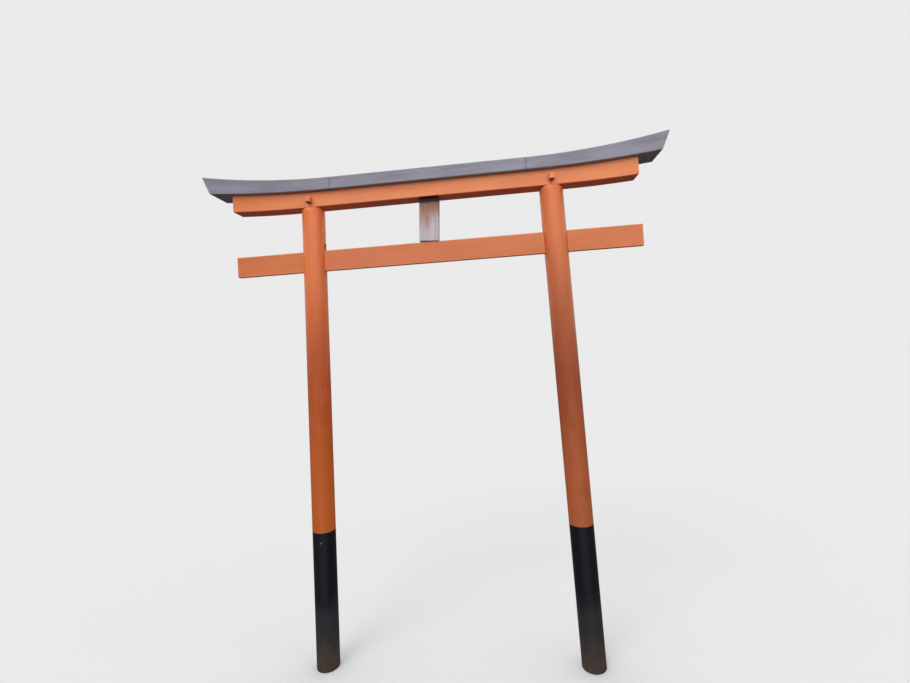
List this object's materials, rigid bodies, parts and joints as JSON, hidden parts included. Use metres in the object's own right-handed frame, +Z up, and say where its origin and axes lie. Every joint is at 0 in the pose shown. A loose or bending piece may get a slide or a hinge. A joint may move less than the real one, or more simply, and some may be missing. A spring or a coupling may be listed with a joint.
{
  "type": "torii gate",
  "caption": "Small wooden torii gate with two round leaning posts, a through board, a strut and a curved double top beam.",
  "frame": {"origin": "centre of the left post's foot, on the ground", "axes": "+Z up, +X along the beams from the left post to the right post, +Y to the rear"},
  "size_m": [2.4896, 0.16, 2.7216],
  "materials": {
    "post_paint": "vermilion gloss paint on wood, black at the foot",
    "beam_paint": "vermilion gloss paint on wood",
    "kasagi_paint": "weathered black paint on wood",
    "bare_wood": "weathered bare softwood",
    "wedge_wood": "bare wood with some paint on it"
  },
  "bodies": {
    "root": {"left_post": "post_paint", "right_post": "post_paint", "nuki": "beam_paint", "shimaki": "beam_paint", "gakuzuka": "bare_wood", "left_outer_wedge": "wedge_wood", "left_inner_wedge": "wedge_wood", "right_inner_wedge": "wedge_wood", "right_outer_wedge": "wedge_wood", "left_peg": "beam_paint", "right_peg": "beam_paint", "kasagi_middle": "kasagi_paint", "kasagi_left_end": "kasagi_paint", "kasagi_right_end": "kasagi_paint"}
  },
  "joints": []
}
